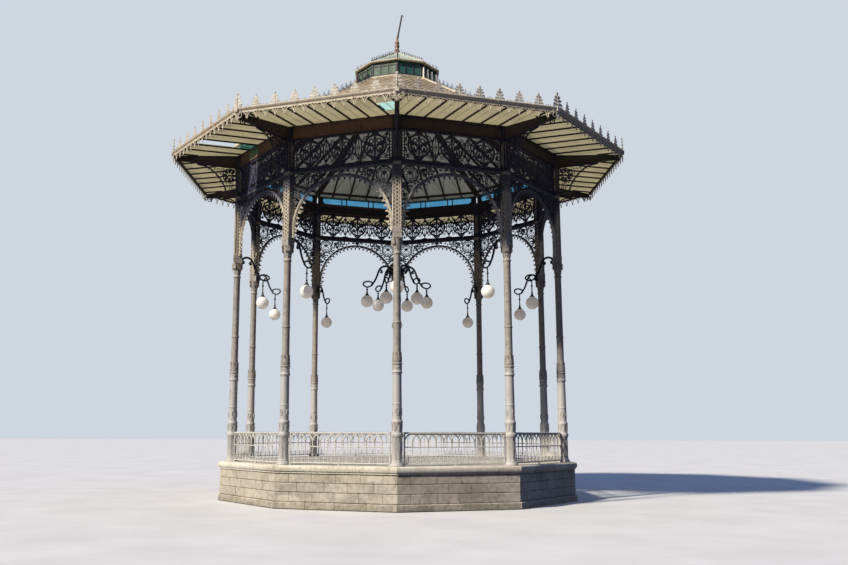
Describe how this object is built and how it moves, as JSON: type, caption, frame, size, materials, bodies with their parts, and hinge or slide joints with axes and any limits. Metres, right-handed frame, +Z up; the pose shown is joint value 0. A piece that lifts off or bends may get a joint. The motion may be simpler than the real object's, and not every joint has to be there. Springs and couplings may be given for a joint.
{
  "type": "bandstand",
  "caption": "Open many-sided iron bandstand on a stone base, with slim columns, lacework arches, a wide canopy, a raised roof with a glazed lantern, and hanging globe lamps.",
  "frame": {"origin": "centre of the base's underside, on the ground", "axes": "+Z up, -Y through column 1, which faces the picture's camera"},
  "size_m": [11.8392, 12.416, 13.686],
  "materials": {
    "base_stone": "rough dressed stone, weathered",
    "coping_stone": "pale limestone coping, worn edges",
    "floor_paving": "worn paving",
    "column_iron": "old grey paint over cast iron, rust at the joints",
    "lattice_iron": "dark blue-grey paint over cast iron, rubbed and rusty",
    "railing_iron": "old light grey paint, patchy",
    "dark_iron": "dark blue-grey paint",
    "lamp_iron": "dark paint, slight gloss",
    "ridge_iron": "dark bare iron, rusty",
    "finial_iron": "faded red paint over rust, dark rod",
    "eaves_metal": "cream paint, rust stains",
    "cresting_metal": "cream paint, weathered",
    "fascia_board": "brown painted board",
    "dark_timber": "dark stained timber",
    "canopy_sheet": "aged translucent sheet, khaki",
    "roof_scales": "scale-pattern sheet, tan with rust",
    "lantern_cream": "cream paint, flaking",
    "tinted_glass": "blue-green tinted glass",
    "opal_glass": "milky opal glass, dusty"
  },
  "bodies": {
    "root": {"plinth": "base_stone", "coping": "coping_stone", "floor": "floor_paving", "column_01": "column_iron", "column_02": "column_iron", "column_03": "column_iron", "column_04": "column_iron", "column_05": "column_iron", "column_06": "column_iron", "column_07": "column_iron", "column_08": "column_iron", "column_09": "column_iron", "column_10": "column_iron", "arch_01": "lattice_iron", "arch_02": "lattice_iron", "arch_03": "lattice_iron", "arch_04": "lattice_iron", "arch_05": "lattice_iron", "arch_06": "lattice_iron", "arch_07": "lattice_iron", "arch_08": "lattice_iron", "arch_09": "lattice_iron", "arch_10": "lattice_iron", "railing": "railing_iron", "frieze": "lattice_iron", "ring_beam": "fascia_board", "canopy_beams": "dark_timber", "canopy_brackets": "lattice_iron", "canopy_ribs": "dark_timber", "canopy_boards": "canopy_sheet", "gutter": "eaves_metal", "eaves_cresting": "cresting_metal", "valance": "eaves_metal", "clerestory_frame": "dark_iron", "tinted_glass": "tinted_glass", "roof_ribs": "dark_timber", "roof_panels": "roof_scales", "roof_cresting": "ridge_iron", "lantern_curb": "lantern_cream", "lantern_frame": "dark_iron", "lantern_roof": "lantern_cream", "finial": "finial_iron", "lamp_arms": "lamp_iron", "lamp_globes": "opal_glass", "chandelier": "lamp_iron"}
  },
  "joints": []
}
